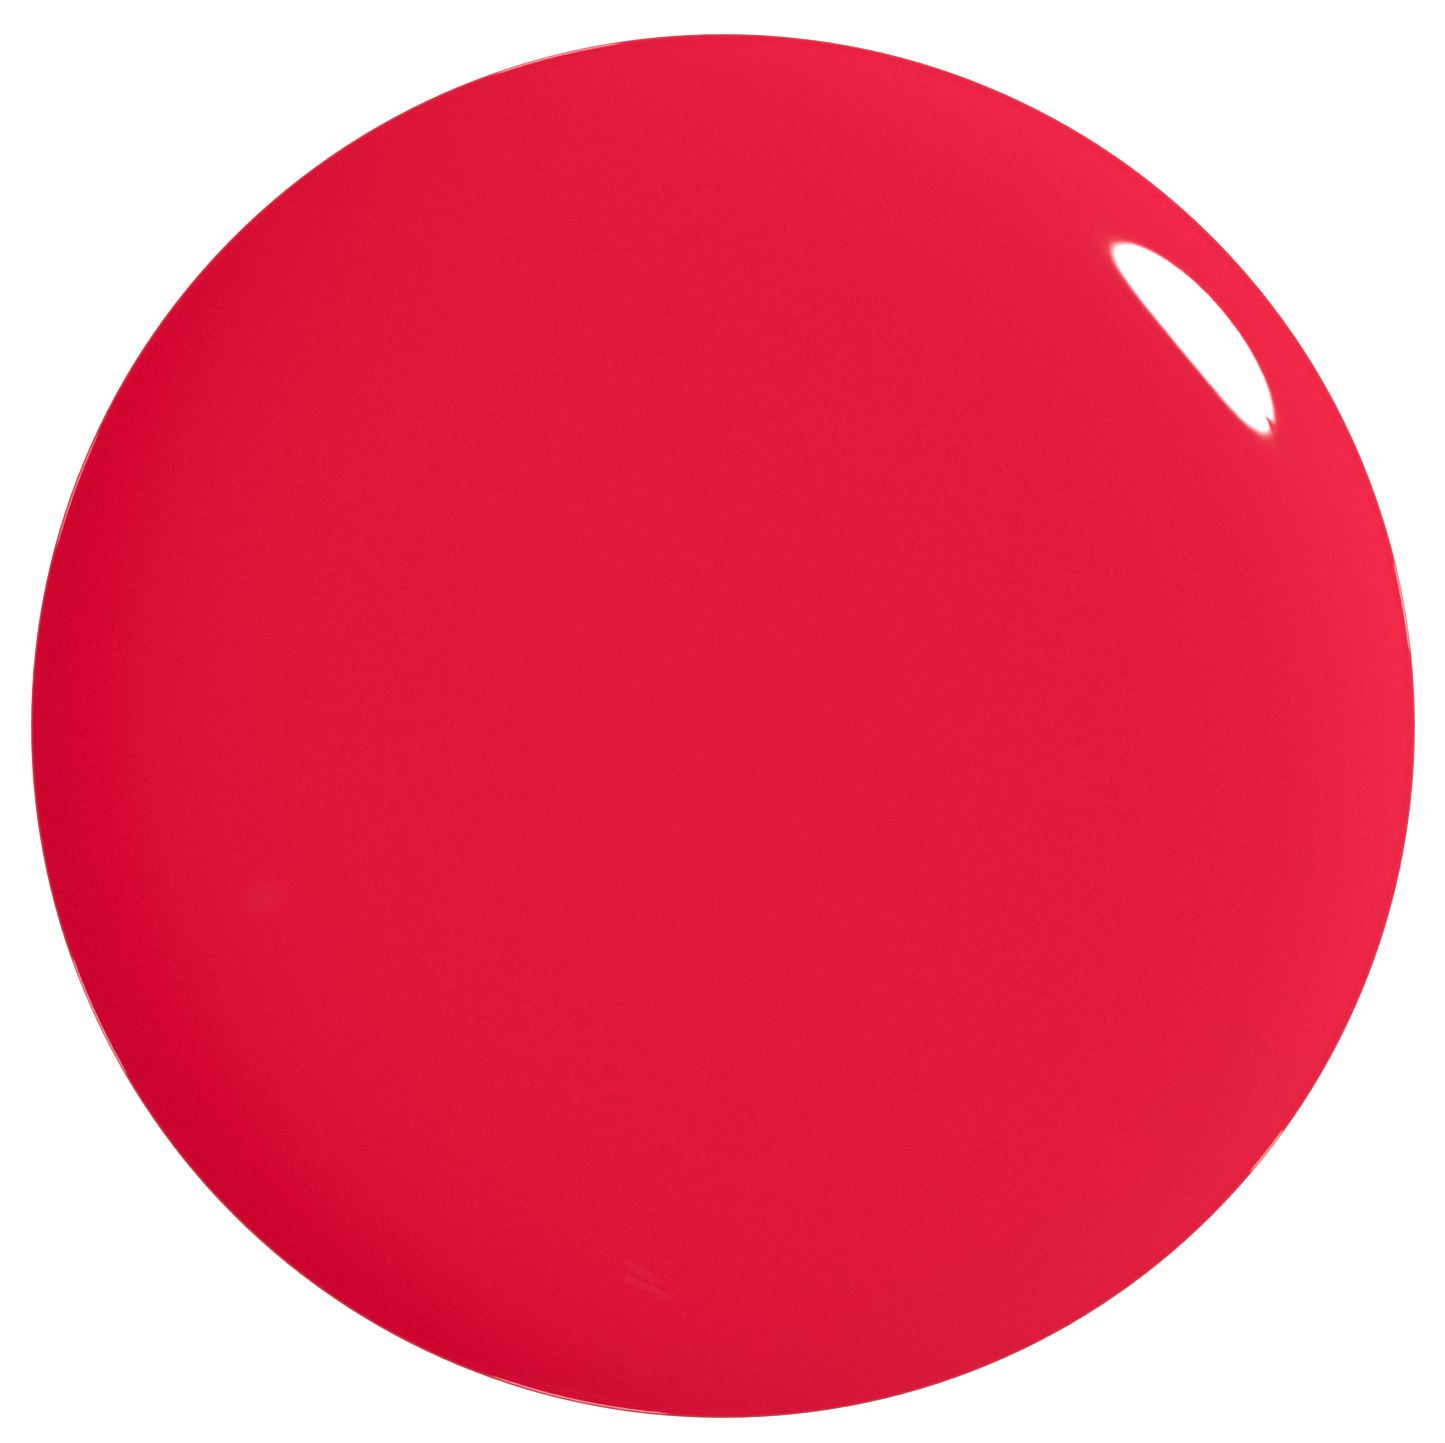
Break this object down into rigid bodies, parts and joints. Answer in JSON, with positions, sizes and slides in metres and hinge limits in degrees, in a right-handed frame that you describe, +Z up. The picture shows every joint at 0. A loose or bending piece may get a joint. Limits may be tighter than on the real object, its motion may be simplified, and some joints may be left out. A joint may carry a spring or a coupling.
{
  "type": "nail polish bottle",
  "caption": "Round glass bottle of nail lacquer with a screw-on brush cap, a lift-off over-cap and a poured drop of its colour on top.",
  "frame": {"origin": "centre of the base, on the surface that the bottle stands on", "axes": "+Z up along the bottle's axis; the flat brush is widest along X, and the two mixing balls lie along Y"},
  "size_m": [0.03, 0.03, 0.0776],
  "materials": {
    "clear_glass": "clear, polished",
    "red_lacquer": "glossy coral-red creme lacquer",
    "paper": "matt white label",
    "ball_steel": "polished stainless steel",
    "white_foam": "matt white polyethylene foam",
    "black_polypropylene": "satin moulded black",
    "natural_polyethylene": "milky natural polyethylene",
    "anchor_brass": "drawn flat wire",
    "nylon_bristle": "black nylon filaments",
    "black_gloss": "piano-black gloss",
    "weight_steel": "turned zinc-plated steel",
    "clear_acrylic": "clear, sharp-edged"
  },
  "bodies": {
    "bottle": {"glass_bottle": "clear_glass", "lacquer_fill": "red_lacquer", "base_label": "paper"},
    "ball_1": {"mixing_ball_1": "ball_steel"},
    "ball_2": {"mixing_ball_2": "ball_steel"},
    "seal": {"cap_liner": "white_foam"},
    "brush_cap": {"inner_cap": "black_polypropylene", "brush_stem": "natural_polyethylene", "bristle_anchor": "anchor_brass", "bristle_tuft": "nylon_bristle"},
    "over_cap": {"over_cap_shell": "black_gloss", "over_cap_sleeve": "black_polypropylene", "cap_weight": "weight_steel", "drop_plate": "clear_acrylic", "lacquer_drop": "red_lacquer"}
  },
  "joints": [
    {"name": "cap_lift", "type": "slide", "parent": "bottle", "child": "seal", "axis": [0, 0, 1], "range_m": [0, 0.0487]},
    {"name": "cap_turn", "type": "hinge", "parent": "seal", "child": "brush_cap", "pos_m": [0, 0, 0.0525], "axis": [0, 0, 1], "range_deg": [0, 8280]},
    {"name": "over_cap_pull", "type": "slide", "parent": "brush_cap", "child": "over_cap", "axis": [0, 0, 1], "range_m": [0, 0.03]},
    {"name": "ball_1_shake", "type": "slide", "parent": "bottle", "child": "ball_1", "axis": [0, 0, 1], "range_m": [0, 0.026]},
    {"name": "ball_2_shake", "type": "slide", "parent": "bottle", "child": "ball_2", "axis": [0, 0, 1], "range_m": [0, 0.026]}
  ],
  "couplings": [
    {"joint": "cap_lift", "follows": "cap_turn", "m_per_rad": 0.00033688}
  ]
}
